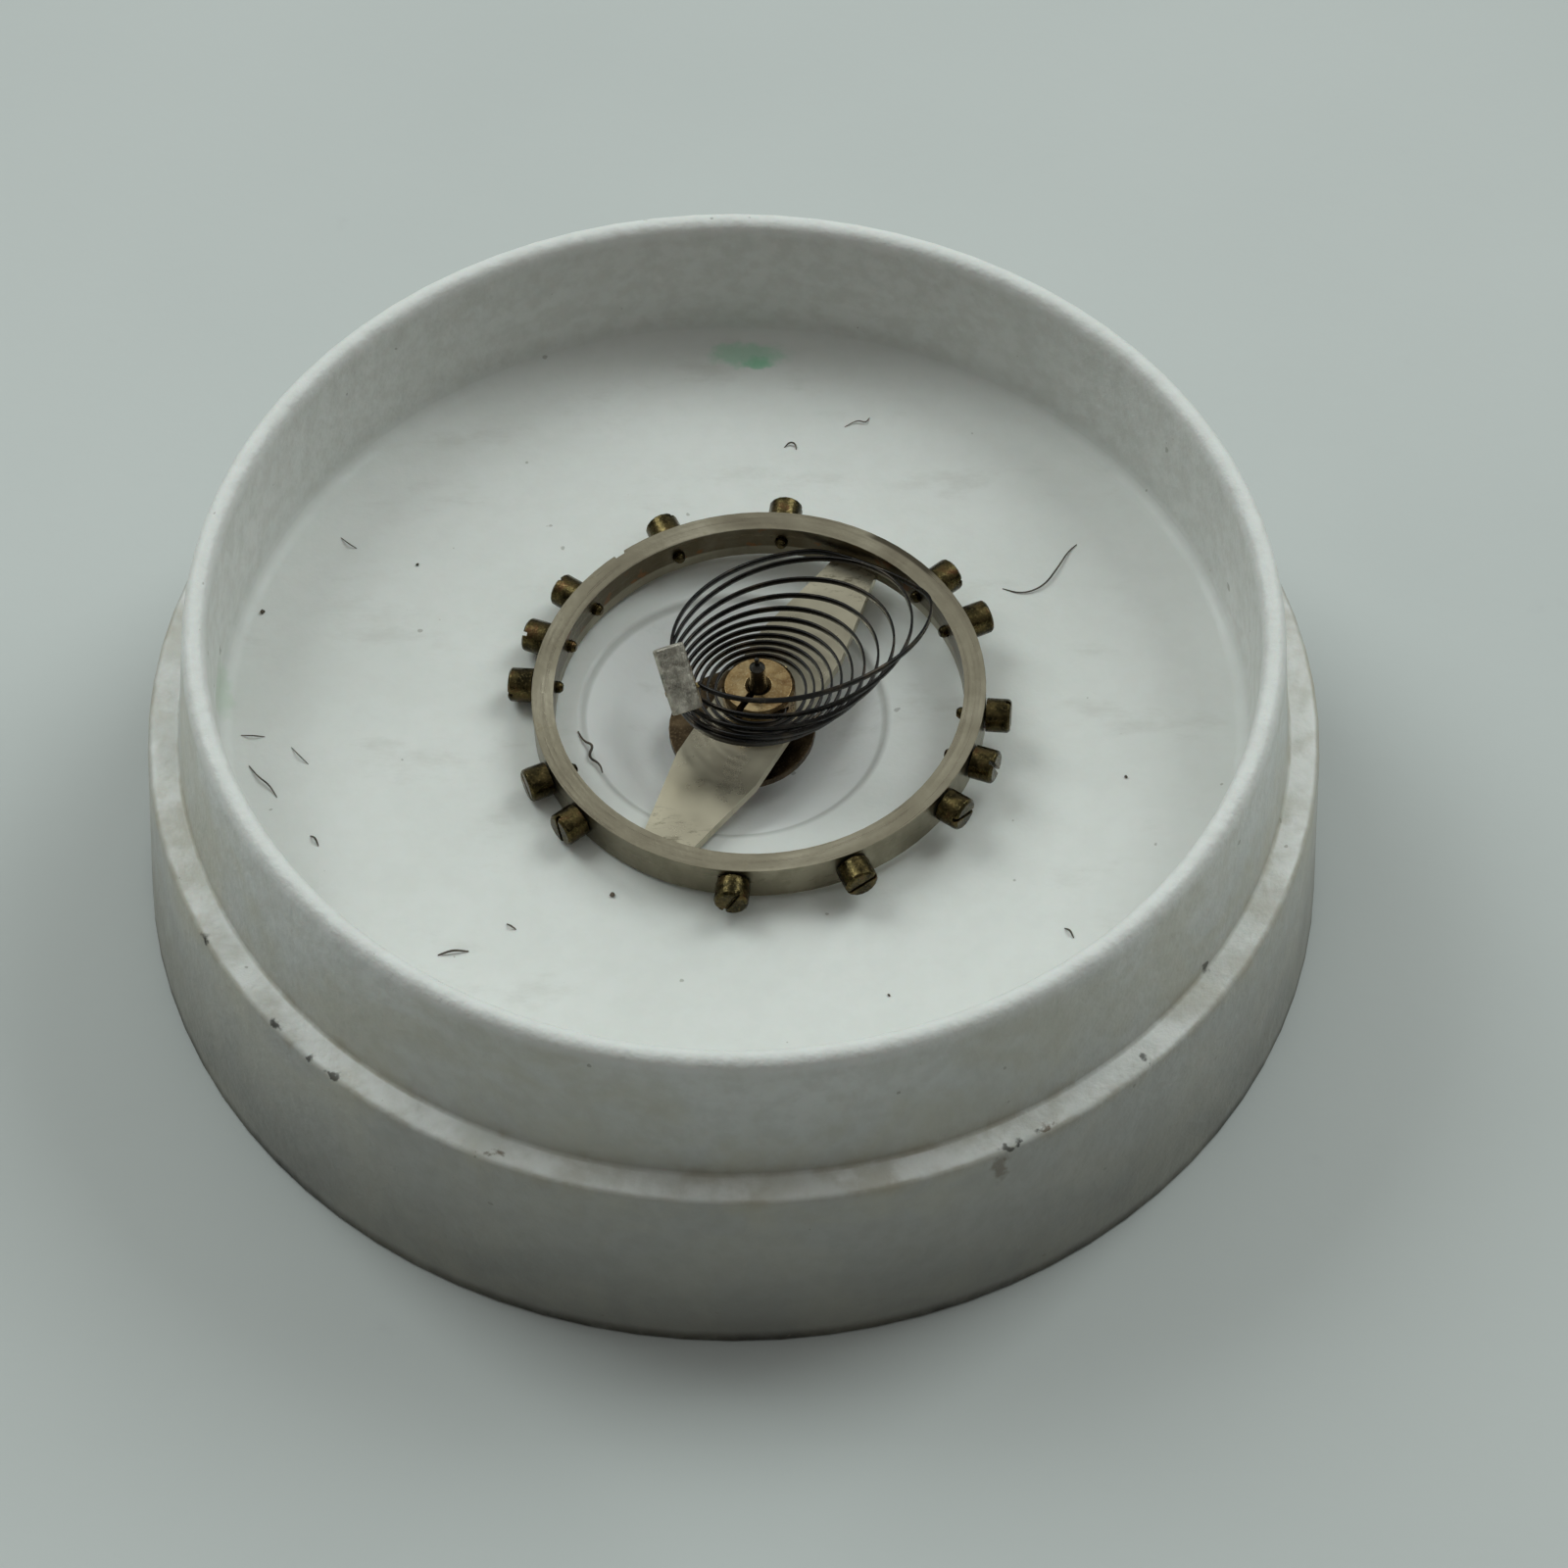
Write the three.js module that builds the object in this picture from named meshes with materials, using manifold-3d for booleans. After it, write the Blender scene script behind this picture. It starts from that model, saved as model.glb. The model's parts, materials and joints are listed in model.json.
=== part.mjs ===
// A complete watch balance lying in a small moulded parts dish.
//
// Units are millimetres, +Z is up, and the origin is the middle of the dish's
// open underside, so the dish stands on z = 0. Turned pieces are drawn as
// closed (radius, height) outlines and revolved about Z.
//
// The balance is built upright in a frame of its own: z = 0 is the rim's lower
// face, and the staff runs along Z. That whole group is then leaned and put
// down in the dish.

import * as THREE from 'three';
import { mergeVertices } from 'three/addons/utils/BufferGeometryUtils.js';
import Module from 'manifold-3d';

const wasm = await Module();
wasm.setup();

// ---------------------------------------------------------------- dimensions

const DEGREE = Math.PI / 180;

// Dish
const SKIRT_FOOT_R = 12.75;
const SKIRT_TOP_R = 12.5;
const STEP_Z = 4.79;
const COLLAR_FOOT_R = 11.84;
const COLLAR_TOP_R = 11.55;
const DISH_HEIGHT = 8.22;
const WELL_MOUTH_R = 11.05;
const WELL_FLOOR_R = 11.01;
const FLOOR_Z = 4.84;
const DISH_WALL = 0.8;
const RECESS_EDGE_R = 3.3;
const RECESS_STEP = 0.1;
const RECESS_FLOOR_R = 1.1;
const RECESS_FLOOR_Z = 3.5;

// Balance wheel
const RIM_OUTER_R = 4.82;
const RIM_INNER_R = 4.36;
const RIM_HEIGHT = 0.857;
const ARM_THICKNESS = 0.235;
const ARM_ANGLE = 61.1 * DEGREE;
const ARM_END_HALF_WIDTH = 0.45;
const ARM_ROOT_HALF_WIDTH = 0.95;
const ARM_ROOT_R = 1.9;
const HUB_R = 0.95;

// Balance screws, on a 15 degree pitch measured from the first one
const FIRST_SCREW_ANGLE = 83.6 * DEGREE;
const SCREW_PITCH = 15 * DEGREE;
const SCREW_STEPS = [0, 2, 4, 5, 6, 8, 9, 12, 14, 16, 17, 18, 20, 21];
const SCREW_HEAD_R = 0.365;
const SCREW_HEAD_LENGTH = 0.52;
const SCREW_THREAD_R = 0.13;
const SCREW_TIP_R = 4.2;
const SCREW_SLOT_WIDTH = 0.08;
const SCREW_SLOT_DEPTH = 0.11;
const POISING_NOTCH_ANGLE = 128.6 * DEGREE;

// Staff and the pieces pressed onto it
const STAFF_TOP_Z = 1.85;
const STAFF_FOOT_Z = -1.49;
const HUB_SEAT_R = 0.38;
const COLLET_SEAT_R = 0.2;
const ROLLER_SEAT_R = 0.24;
const PRESS_GAP = 0.02;
const COLLET_R = 0.78;
const COLLET_HEIGHT = 0.7;
const COLLET_SLOT_ANGLE = -122 * DEGREE;
const COLLET_PIN_X = 0.56;
const ROLLER_TABLE_R = 1.57;
const ROLLER_TABLE_OFFSET = 0.4;
const ROLLER_TABLE_TOP_Z = -0.46;
const ROLLER_TABLE_THICKNESS = 0.18;
const SAFETY_ROLLER_R = 0.75;
const SAFETY_ROLLER_TOP_Z = -0.72;
const SAFETY_ROLLER_THICKNESS = 0.22;
const JEWEL_ANGLE = -118.9 * DEGREE;
const JEWEL_ORBIT_R = 1.2;
const JEWEL_R = 0.13;
const JEWEL_TOP_Z = -0.42;
const JEWEL_FOOT_Z = -1.08;

// Hairspring: an oval spiral whose outer turns are dragged off centre
const RIBBON_HEIGHT = 0.14;
const RIBBON_THICKNESS = 0.05;
const SPRING_REST_Z = RIM_HEIGHT - 0.125;
const SPRING_STEPS_PER_TURN = 30;

// Stud at the outer end of the hairspring
const STUD_WIDTH = 0.66;
const STUD_DEPTH = 0.38;
const STUD_LENGTH = 1.42;
const STUD_HOLE_HEIGHT = 0.46;
const STUD_CHAMFER = 0.08;
const STUD_LEAN = -45 * DEGREE;
const STUD_ROLL = -16 * DEGREE;
const PIN_R = 0.06;
const PIN_HOLE_R = 0.08;

// How the balance lies in the dish
const BALANCE_X = 0.55;
const BALANCE_Y = -0.162;
const BALANCE_Z = 5.085;
const LEAN_ANGLE = 2.64 * DEGREE;
const LEAN_TOWARDS = -162.3 * DEGREE;

// ------------------------------------------------------------------- helpers

function point(x, y) {
  return new THREE.Vector2(x, y);
}

// Joins shared corners and drops the empty triangles that a point on the axis leaves.
function welded(geometry) {
  const bare = geometry.clone();
  bare.deleteAttribute('normal');
  bare.deleteAttribute('uv');
  const merged = mergeVertices(bare, 1e-5);
  const corners = merged.index.array;
  const kept = [];
  for (let i = 0; i < corners.length; i += 3) {
    const [a, b, c] = corners.slice(i, i + 3);
    if (a !== b && b !== c && c !== a) kept.push(a, b, c);
  }
  merged.setIndex(kept);
  return merged;
}

function toSolid(geometry) {
  const shell = welded(geometry);
  return new wasm.Manifold(new wasm.Mesh({
    numProp: 3,
    vertProperties: new Float32Array(shell.attributes.position.array),
    triVerts: new Uint32Array(shell.index.array),
  }));
}

function toGeometry(solid) {
  const mesh = solid.getMesh();
  const geometry = new THREE.BufferGeometry();
  geometry.setAttribute('position', new THREE.BufferAttribute(mesh.vertProperties, 3));
  geometry.setIndex(new THREE.BufferAttribute(mesh.triVerts, 1));
  geometry.computeVertexNormals();
  return geometry;
}

// Cuts every tool out of a body.
function cut(body, tools) {
  let solid = toSolid(body);
  for (const tool of tools) solid = solid.subtract(toSolid(tool));
  return toGeometry(solid);
}

function join(first, ...others) {
  let solid = toSolid(first);
  for (const other of others) solid = solid.add(toSolid(other));
  return toGeometry(solid);
}

// Revolves a closed outline of [radius, height] points about Z.
function turned(outline, sides) {
  const points = outline.map(([radius, height]) => point(radius, height));
  if (THREE.ShapeUtils.area(points) < 0) points.reverse();
  points.push(points[0].clone());
  return new THREE.LatheGeometry(points, sides).rotateX(Math.PI / 2);
}

// A plain round bar along Z between two heights.
function bar(radius, low, high, sides) {
  return turned([[0, low], [radius, low], [radius, high], [0, high]], sides);
}

function ring(inner, outer, low, high, sides) {
  return turned([[inner, low], [outer, low], [outer, high], [inner, high]], sides);
}

// Points on a rounded corner, from one angle to another about a centre.
function arc(centreR, centreZ, radius, from, to, steps) {
  const points = [];
  for (let i = 0; i <= steps; i += 1) {
    const angle = (from + (to - from) * i / steps) * DEGREE;
    points.push([centreR + radius * Math.cos(angle), centreZ + radius * Math.sin(angle)]);
  }
  return points;
}

function piece(name, geometry, colour, roughness, metalness) {
  const material = new THREE.MeshStandardMaterial({ color: colour, roughness, metalness });
  const mesh = new THREE.Mesh(geometry, material);
  mesh.name = name;
  return mesh;
}

// ---------------------------------------------------------------------- dish

const DISH_SIDES = 80;

function makeDish() {
  const lip = (COLLAR_TOP_R - WELL_MOUTH_R) / 2;
  const shoulder = 0.15;
  const fillet = 0.35;
  const undersideZ = FLOOR_Z - DISH_WALL;
  const recessTopZ = FLOOR_Z - RECESS_STEP;
  const outline = [
    [SKIRT_FOOT_R - DISH_WALL, 0],
    [SKIRT_FOOT_R, 0],
    ...arc(SKIRT_TOP_R - shoulder, STEP_Z - shoulder, shoulder, 0, 90, 2),
    [COLLAR_FOOT_R, STEP_Z],
    ...arc(WELL_MOUTH_R + lip, DISH_HEIGHT - lip, lip, 0, 180, 6),
    ...arc(WELL_FLOOR_R - fillet, FLOOR_Z + fillet, fillet, 0, -90, 3),
    [RECESS_EDGE_R, FLOOR_Z],
    [RECESS_EDGE_R - RECESS_STEP, recessTopZ],
    [RECESS_FLOOR_R, RECESS_FLOOR_Z],
    [0, RECESS_FLOOR_Z],
    [0, RECESS_FLOOR_Z - DISH_WALL],
    [RECESS_FLOOR_R + 0.25, RECESS_FLOOR_Z - DISH_WALL],
    [RECESS_EDGE_R + 0.45, undersideZ],
    [SKIRT_TOP_R - DISH_WALL, undersideZ],
  ];
  return piece('dish', turned(outline, DISH_SIDES), 0xd9dcd8, 0.45, 0);
}

// ------------------------------------------------------------- balance wheel

const RIM_SIDES = 84;

// A flat outline in the arm's own direction, X outwards, laid on the wheel.
function armBlank() {
  const reach = (RIM_INNER_R + RIM_OUTER_R) / 2;
  const outline = [
    [reach, ARM_END_HALF_WIDTH], [ARM_ROOT_R, ARM_ROOT_HALF_WIDTH],
    [-ARM_ROOT_R, ARM_ROOT_HALF_WIDTH], [-reach, ARM_END_HALF_WIDTH],
    [-reach, -ARM_END_HALF_WIDTH], [-ARM_ROOT_R, -ARM_ROOT_HALF_WIDTH],
    [ARM_ROOT_R, -ARM_ROOT_HALF_WIDTH], [reach, -ARM_END_HALF_WIDTH],
  ].map(([x, y]) => point(x, y));
  const shape = new THREE.Shape(outline);
  const settings = { depth: ARM_THICKNESS, bevelEnabled: false };
  return new THREE.ExtrudeGeometry(shape, settings).rotateZ(ARM_ANGLE);
}

// A bar that lies along the radius at an angle, at the height of the screws.
function radialBar(radius, from, to, sides, angle) {
  return bar(radius, from, to, sides)
    .rotateY(Math.PI / 2)
    .rotateZ(angle)
    .translate(0, 0, RIM_HEIGHT / 2);
}

function screwAngles() {
  return SCREW_STEPS.map((step) => FIRST_SCREW_ANGLE + step * SCREW_PITCH);
}

function makeBalanceWheel() {
  const rim = ring(RIM_INNER_R, RIM_OUTER_R, 0, RIM_HEIGHT, RIM_SIDES);
  const hub = bar(HUB_R, 0, ARM_THICKNESS, 36);
  const blank = join(rim, armBlank(), hub);
  const holeR = SCREW_THREAD_R + PRESS_GAP;
  const inner = RIM_INNER_R - 0.3;
  const outer = RIM_OUTER_R + 0.3;
  const holes = screwAngles().map((angle) => radialBar(holeR, inner, outer, 10, angle));
  const staffHole = bar(HUB_SEAT_R + PRESS_GAP, -0.1, RIM_HEIGHT, 24);
  const notch = new THREE.BoxGeometry(0.16, 0.26, 0.2)
    .translate(RIM_OUTER_R, 0, RIM_HEIGHT)
    .rotateZ(POISING_NOTCH_ANGLE);
  return piece('balance_wheel', cut(blank, [...holes, staffHole, notch]), 0xa8a290, 0.38, 0.9);
}

// One slotted screw, drawn with its head outwards along Z.
function screwGeometry() {
  const seat = RIM_OUTER_R + PRESS_GAP;
  const face = seat + SCREW_HEAD_LENGTH;
  const chamfer = 0.05;
  const blank = turned([
    [0, SCREW_TIP_R], [SCREW_THREAD_R * 0.6, SCREW_TIP_R], [SCREW_THREAD_R, SCREW_TIP_R + 0.07],
    [SCREW_THREAD_R, seat], [SCREW_HEAD_R, seat], [SCREW_HEAD_R, face - chamfer],
    [SCREW_HEAD_R - chamfer, face], [0, face],
  ], 16);
  const slot = new THREE.BoxGeometry(SCREW_SLOT_WIDTH, SCREW_HEAD_R * 3, SCREW_SLOT_DEPTH * 2)
    .translate(0, 0, face);
  return cut(blank, [slot]);
}

// Each screw stopped turning at its own angle when it came up tight.
function makeBalanceScrews() {
  const tightenedTurn = 137.5 * DEGREE;
  return screwAngles().map((angle, index) => {
    const number = String(index + 1).padStart(2, '0');
    const screw = piece(`balance_screw_${number}`, screwGeometry(), 0x7a6a3a, 0.42, 0.9);
    screw.position.z = RIM_HEIGHT / 2;
    screw.rotation.set(0, Math.PI / 2, 0);
    screw.rotateZ(tightenedTurn * index);
    const spoke = new THREE.Group();
    spoke.rotation.z = angle;
    spoke.add(screw);
    return spoke;
  });
}

// --------------------------------------------- staff, collet, rollers, jewel

function makeStaff() {
  const outline = [
    [0, STAFF_FOOT_Z], [0.045, STAFF_FOOT_Z], [0.06, STAFF_FOOT_Z + 0.03],
    [0.06, STAFF_FOOT_Z + 0.24], [0.15, STAFF_FOOT_Z + 0.36], [0.15, -1.0],
    [ROLLER_SEAT_R, -1.0], [ROLLER_SEAT_R, -0.3], [0.6, -0.24], [0.6, -PRESS_GAP],
    [HUB_SEAT_R, -PRESS_GAP], [HUB_SEAT_R, ARM_THICKNESS], [COLLET_SEAT_R, ARM_THICKNESS],
    [COLLET_SEAT_R, 1.0], [0.17, 1.08], [0.17, 1.56], [0.055, 1.66],
    [0.055, STAFF_TOP_Z - 0.03], [0.035, STAFF_TOP_Z], [0, STAFF_TOP_Z],
  ];
  return piece('balance_staff', turned(outline, 20), 0x4a4c50, 0.3, 1);
}

const COLLET_BASE_Z = ARM_THICKNESS + PRESS_GAP;

function makeCollet() {
  const top = COLLET_BASE_Z + COLLET_HEIGHT;
  const chamfer = 0.07;
  const bore = COLLET_SEAT_R + PRESS_GAP;
  const blank = turned([
    [bore, COLLET_BASE_Z], [COLLET_R, COLLET_BASE_Z], [COLLET_R, top - chamfer],
    [COLLET_R - chamfer, top], [bore + chamfer, top], [bore, top - chamfer],
  ], 36);
  const slot = new THREE.BoxGeometry(COLLET_R, 0.15, COLLET_HEIGHT * 3)
    .translate(COLLET_R / 2 + 0.2, 0, COLLET_BASE_Z)
    .rotateZ(COLLET_SLOT_ANGLE);
  const pinHole = bar(PIN_HOLE_R, -1, 1, 10)
    .rotateX(Math.PI / 2)
    .translate(COLLET_PIN_X, 0, SPRING_REST_Z);
  return piece('hairspring_collet', cut(blank, [slot, pinHole]), 0xc09a4c, 0.35, 0.95);
}

// The pin wedges the spring's inner end, which comes in at the hole's other mouth.
function makeColletPin() {
  const pin = bar(PIN_R, -0.62, 0.42, 10).rotateX(Math.PI / 2);
  const mesh = piece('collet_pin', pin, 0xb08f45, 0.35, 0.95);
  mesh.position.set(COLLET_PIN_X, 0, SPRING_REST_Z);
  return mesh;
}

// The table is set off centre on the staff, towards -X.
function makeRollerTable() {
  const low = ROLLER_TABLE_TOP_Z - ROLLER_TABLE_THICKNESS;
  const disc = bar(ROLLER_TABLE_R, low, ROLLER_TABLE_TOP_Z, 44).translate(-ROLLER_TABLE_OFFSET, 0, 0);
  const staffHole = bar(ROLLER_SEAT_R + PRESS_GAP, -2, 0, 20);
  const jewelHole = bar(JEWEL_R + PRESS_GAP, -2, 0, 14)
    .translate(JEWEL_ORBIT_R, 0, 0)
    .rotateZ(JEWEL_ANGLE);
  return piece('roller_table', cut(disc, [staffHole, jewelHole]), 0x6e5535, 0.45, 0.85);
}

// The notch lets the guard pin pass while the jewel is in the fork.
function makeSafetyRoller() {
  const low = SAFETY_ROLLER_TOP_Z - SAFETY_ROLLER_THICKNESS;
  const disc = ring(ROLLER_SEAT_R + PRESS_GAP, SAFETY_ROLLER_R, low, SAFETY_ROLLER_TOP_Z, 32);
  const notch = bar(0.2, -2, 0, 16).translate(SAFETY_ROLLER_R + 0.03, 0, 0).rotateZ(JEWEL_ANGLE);
  return piece('safety_roller', cut(disc, [notch]), 0x7a6038, 0.4, 0.85);
}

// A ruby pin with a flat on its outer side.
function makeImpulseJewel() {
  const flat = 0.45 * JEWEL_R;
  const half = Math.acos(flat / JEWEL_R);
  const outline = new THREE.Shape();
  outline.absarc(0, 0, JEWEL_R, half, 2 * Math.PI - half, false);
  const settings = { depth: JEWEL_TOP_Z - JEWEL_FOOT_Z, bevelEnabled: false, curveSegments: 12 };
  const jewel = new THREE.ExtrudeGeometry(outline, settings)
    .translate(JEWEL_ORBIT_R, 0, JEWEL_FOOT_Z)
    .rotateZ(JEWEL_ANGLE);
  return piece('impulse_jewel', jewel, 0x9c1030, 0.1, 0);
}

// ------------------------------------------------------ hairspring and stud

// The spring's middle line. Its end at u = 0 is at the collet, and at u = 1 at
// the stud. The turns grow evenly outwards. Pulled by the stud, the outer ones
// also move off centre, go oval and rise on the stud's side. Half a turn from
// the stud the spring dips inside the rim and lies along it, and its last part
// is an overcoil that steps up and inwards to the stud.
class HairspringPath extends THREE.Curve {
  constructor() {
    super();
    this.turns = 11.23;
    this.endAngle = 226.8 * DEGREE;
    this.innerR = 0.855;
    this.growth = 0.176;
    this.flare = 0.21;
    this.shift = point(1.07, 1.675);
    this.flattening = 0.14;
    this.longAxis = 43 * DEGREE;
    this.lift = 1.1;
    this.lowSide = 114.6 * DEGREE;
    this.rise = 0.27;
    this.overcoilStart = 0.955;
    this.overcoil = new THREE.Vector3(-0.178, -0.308, 0.315);
    this.dip = 0.66;
    this.dipCentre = 0.52;
    this.dipHalfWidth = 0.36;
    this.limitR = 4.24;
    this.limitSoftness = 0.05;
    this.innerEnd = point(COLLET_PIN_X, -0.52);
    this.innerReach = 0.5;
    this.innerBend = 0.01;
  }

  getPoint(u, target = new THREE.Vector3()) {
    const turnsLeft = this.turns * (1 - u);
    const angle = this.endAngle + 2 * Math.PI * turnsLeft;
    const radius = this.innerR + this.growth * this.turns * u + this.flare * u ** 4;
    const along = radius * Math.cos(angle - this.longAxis);
    const across = radius * (1 - this.flattening * u ** 1.5) * Math.sin(angle - this.longAxis);
    const c = Math.cos(this.longAxis);
    const s = Math.sin(this.longAxis);
    const towardsStud = (1 - Math.cos(angle - this.lowSide)) / 2;
    const fromDip = Math.min(Math.abs(turnsLeft - this.dipCentre) / this.dipHalfWidth, 1);
    target.set(
      this.shift.x * u ** 3.1 + along * c - across * s,
      this.shift.y * u ** 4.2 + along * s + across * c,
      SPRING_REST_Z + this.lift * u ** 1.5 * towardsStud + this.rise * u ** 2.8
        - this.dip * Math.cos(Math.PI / 2 * fromDip) ** 2,
    );
    target.addScaledVector(this.overcoil, THREE.MathUtils.smoothstep(u, this.overcoilStart, 1));
    this.keepInsideRim(target);
    return this.leaveCollet(u, target);
  }

  // Bends the path in smoothly where it would pass through the rim.
  keepInsideRim(target) {
    const radius = Math.hypot(target.x, target.y);
    const excess = (radius - this.limitR) / this.limitSoftness;
    const scale = 1 - this.limitSoftness * Math.log1p(Math.exp(excess)) / radius;
    target.x *= scale;
    target.y *= scale;
  }

  // The inner end comes straight out of the collet's pin hole, then joins the spiral.
  leaveCollet(u, target) {
    const share = u / this.innerBend;
    const straight = target.clone();
    straight.x = this.innerEnd.x;
    straight.y = this.innerEnd.y - this.innerReach * share;
    return target.lerp(straight, 1 - THREE.MathUtils.smoothstep(share, 0, 1));
  }

  // Sections follow the angle, so every turn has the same number of them.
  getUtoTmapping(u) {
    return u;
  }

  // Keeps the ribbon standing on edge: its height stays along Z.
  computeFrenetFrames(segments) {
    const tangents = [];
    const normals = [];
    const binormals = [];
    for (let i = 0; i <= segments; i += 1) {
      const tangent = this.getTangent(i / segments);
      const sideways = new THREE.Vector3(tangent.y, -tangent.x, 0).normalize();
      tangents.push(tangent);
      normals.push(sideways);
      binormals.push(new THREE.Vector3().crossVectors(tangent, sideways).normalize());
    }
    return { tangents, normals, binormals };
  }
}

const springPath = new HairspringPath();

function makeHairspring() {
  const halfThickness = RIBBON_THICKNESS / 2;
  const halfHeight = RIBBON_HEIGHT / 2;
  const section = new THREE.Shape([
    point(-halfThickness, -halfHeight), point(halfThickness, -halfHeight),
    point(halfThickness, halfHeight), point(-halfThickness, halfHeight),
  ]);
  const steps = Math.round(springPath.turns * SPRING_STEPS_PER_TURN);
  const settings = { steps, bevelEnabled: false, extrudePath: springPath };
  const ribbon = new THREE.ExtrudeGeometry(section, settings);
  return piece('hairspring', ribbon, 0x24262e, 0.35, 1);
}

// The stud and its pin share a group that leans back and sideways. Its origin is
// the middle of the pin hole, and the spring's end comes to the stud's side there.
function makeStud() {
  const w = STUD_WIDTH / 2;
  const d = STUD_DEPTH / 2;
  const c = STUD_CHAMFER;
  const outline = new THREE.Shape([
    point(-w + c, -d), point(w - c, -d), point(w, -d + c), point(w, d - c),
    point(w - c, d), point(-w + c, d), point(-w, d - c), point(-w, -d + c),
  ]);
  const settings = { depth: STUD_LENGTH, bevelEnabled: false };
  const block = new THREE.ExtrudeGeometry(outline, settings).translate(0, 0, -STUD_HOLE_HEIGHT);
  const pinHole = bar(PIN_HOLE_R, -1, 1, 10).rotateY(Math.PI / 2);
  const stud = piece('hairspring_stud', cut(block, [pinHole]), 0x8a8a88, 0.4, 0.95);
  const pin = piece('stud_pin', bar(PIN_R, -0.35, 0.4, 10).rotateY(Math.PI / 2), 0xa88a45, 0.35, 0.95);
  const group = new THREE.Group();
  group.add(stud, pin);
  group.rotation.set(STUD_LEAN, STUD_ROLL, 0);
  const toSpring = new THREE.Vector3(w + RIBBON_THICKNESS / 2 + PRESS_GAP, 0, 0);
  group.position.copy(springPath.getPoint(1)).sub(toSpring.applyEuler(group.rotation));
  return group;
}

// ------------------------------------------------------------------ assembly

const balance = new THREE.Group();
balance.add(
  makeBalanceWheel(),
  ...makeBalanceScrews(),
  makeStaff(),
  makeCollet(),
  makeColletPin(),
  makeRollerTable(),
  makeSafetyRoller(),
  makeImpulseJewel(),
  makeHairspring(),
  makeStud(),
);

balance.position.set(BALANCE_X, BALANCE_Y, BALANCE_Z);
const leanAxis = new THREE.Vector3(-Math.sin(LEAN_TOWARDS), Math.cos(LEAN_TOWARDS), 0);
balance.quaternion.setFromAxisAngle(leanAxis, LEAN_ANGLE);

const part = new THREE.Group();
part.add(makeDish(), balance);

export default part;
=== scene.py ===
"""A watch balance lying in a white plastic parts dish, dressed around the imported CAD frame."""

import json
import math

import bmesh
import bpy
import numpy as np
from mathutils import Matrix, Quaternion, Vector


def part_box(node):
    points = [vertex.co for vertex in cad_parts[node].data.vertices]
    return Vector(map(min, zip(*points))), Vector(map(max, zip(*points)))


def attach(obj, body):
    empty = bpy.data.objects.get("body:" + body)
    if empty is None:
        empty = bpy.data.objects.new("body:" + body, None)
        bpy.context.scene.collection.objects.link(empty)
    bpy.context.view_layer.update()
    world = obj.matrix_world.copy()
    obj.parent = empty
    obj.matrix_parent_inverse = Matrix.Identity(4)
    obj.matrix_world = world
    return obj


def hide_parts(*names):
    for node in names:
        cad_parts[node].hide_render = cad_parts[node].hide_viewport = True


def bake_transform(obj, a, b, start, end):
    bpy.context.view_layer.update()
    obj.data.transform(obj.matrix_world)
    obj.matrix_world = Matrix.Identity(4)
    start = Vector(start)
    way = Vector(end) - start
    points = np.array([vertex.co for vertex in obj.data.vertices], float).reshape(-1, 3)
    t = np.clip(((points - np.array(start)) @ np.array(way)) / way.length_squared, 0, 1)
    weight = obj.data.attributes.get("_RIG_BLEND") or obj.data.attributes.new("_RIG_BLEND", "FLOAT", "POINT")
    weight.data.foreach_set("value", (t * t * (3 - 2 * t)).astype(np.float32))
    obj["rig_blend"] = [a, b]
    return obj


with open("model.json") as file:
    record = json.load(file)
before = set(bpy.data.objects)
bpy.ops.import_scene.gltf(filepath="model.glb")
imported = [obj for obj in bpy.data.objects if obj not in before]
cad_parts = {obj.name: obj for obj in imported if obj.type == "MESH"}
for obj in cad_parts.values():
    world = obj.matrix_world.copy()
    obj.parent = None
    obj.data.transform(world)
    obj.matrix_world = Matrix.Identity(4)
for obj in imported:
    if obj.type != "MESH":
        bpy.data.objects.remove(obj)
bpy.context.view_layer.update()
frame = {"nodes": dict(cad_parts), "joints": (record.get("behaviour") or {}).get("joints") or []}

MM = 0.001
NODES = frame["nodes"]

# The balance's own frame: its lower rim face is z = 0 and its staff runs along Z.
SWING = next(joint for joint in frame["joints"] if joint["name"] == "balance_swing")
BALANCE_ORIGIN = Vector(SWING["pos_m"])
BALANCE_AXIS = Vector(SWING["axis"]).normalized()
BALANCE_TURN = Vector((0, 0, 1)).rotation_difference(BALANCE_AXIS)

# Heights and radii on the dish, in millimetres
DISH_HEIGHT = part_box("dish")[1].z / MM
STEP_Z = 4.79
FLOOR_Z = 4.84
COLLAR_FOOT_R = 11.84
WELL_R = 11.05
RECESS_R = 3.12

# The height of the balance's rim, in millimetres
RIM_HEIGHT = 0.857


def on_balance(x, y, z):
    """A point in the balance's own frame, in millimetres, as a point of the scene."""
    return BALANCE_ORIGIN + BALANCE_TURN @ (Vector((x, y, z)) * MM)


# ------------------------------------------------------------------- camera

CAMERA_PLACE = Vector((0, -78.02, 103.18)) * MM
CAMERA_AIM = Vector((1.099, 1.157, 0.891)) * MM
CAMERA_ROLL = math.radians(0.773)


def make_camera():
    data = bpy.data.cameras.new("camera")
    data.lens = 135
    data.sensor_width = 36
    data.clip_start = 0.005
    data.clip_end = 5
    camera = bpy.data.objects.new("camera", data)
    bpy.context.scene.collection.objects.link(camera)
    camera.location = CAMERA_PLACE
    camera.rotation_mode = "QUATERNION"
    look = (CAMERA_AIM - CAMERA_PLACE).to_track_quat("-Z", "Y")
    camera.rotation_quaternion = look @ Quaternion((0, 0, 1), CAMERA_ROLL)
    bpy.context.scene.camera = camera


# ------------------------------------------------------------ stage and light

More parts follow.
